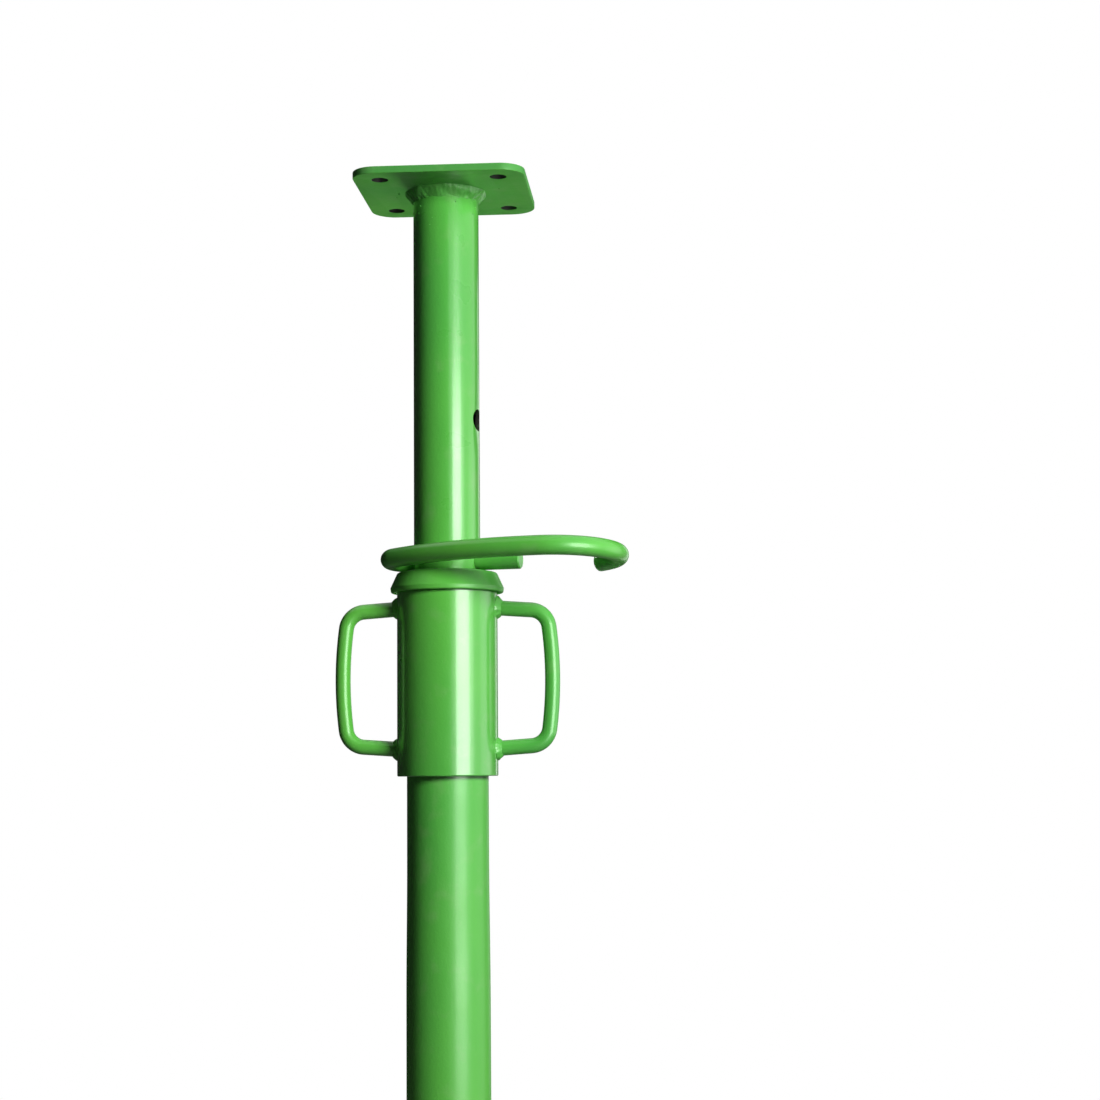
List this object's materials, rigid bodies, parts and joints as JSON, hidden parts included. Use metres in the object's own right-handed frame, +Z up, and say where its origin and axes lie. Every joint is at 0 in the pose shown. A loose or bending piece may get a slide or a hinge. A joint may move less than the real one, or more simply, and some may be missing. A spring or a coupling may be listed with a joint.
{
  "type": "adjustable steel prop",
  "caption": "Telescopic steel prop with square end plates, a covered-thread nut with bail handles, and a captive hooked pin through the inner tube.",
  "frame": {"origin": "centre of the base plate's underside", "axes": "+Z up along the tubes; X and Y along the sides of the square plates; -Y faces the viewer of the picture"},
  "size_m": [0.2158, 0.1444, 1.204],
  "materials": {
    "green_paint": "gloss",
    "painted_weld": "rough gloss",
    "bare_steel": "greased"
  },
  "bodies": {
    "outer": {"base_plate": "green_paint", "base_weld": "painted_weld", "outer_tube": "green_paint"},
    "thrust_ring": {"thrust_ring": "green_paint"},
    "nut": {"nut_sleeve": "green_paint", "nut_thread_ring": "bare_steel", "right_handle": "green_paint", "left_handle": "green_paint", "right_lower_weld": "painted_weld", "right_upper_weld": "painted_weld", "left_lower_weld": "painted_weld", "left_upper_weld": "painted_weld"},
    "stop_ring": {"stop_ring": "bare_steel"},
    "inner": {"inner_tube": "green_paint", "head_plate": "green_paint", "head_weld": "painted_weld"},
    "g_pin": {"g_pin": "green_paint"}
  },
  "joints": [
    {"name": "nut_lift", "type": "slide", "parent": "outer", "child": "thrust_ring", "axis": [0, 0, 1], "range_m": [0, 0.105]},
    {"name": "nut_turn", "type": "hinge", "parent": "thrust_ring", "child": "nut", "pos_m": [0, 0, 0.84], "axis": [0, 0, 1], "range_deg": [0, 4720]},
    {"name": "extension", "type": "slide", "parent": "thrust_ring", "child": "stop_ring", "axis": [0, 0, 1], "range_m": [0, 0.573]},
    {"name": "head_swivel", "type": "hinge", "parent": "stop_ring", "child": "inner", "pos_m": [0, 0, 0.2], "axis": [0, 0, 1], "continuous": true},
    {"name": "pin_pull", "type": "slide", "parent": "inner", "child": "g_pin", "axis": [-0.982, 0.1891, 0], "range_m": [0, 0.081]}
  ],
  "couplings": [
    {"joint": "nut_lift", "follows": "nut_turn", "m_per_rad": 0.0012732}
  ]
}
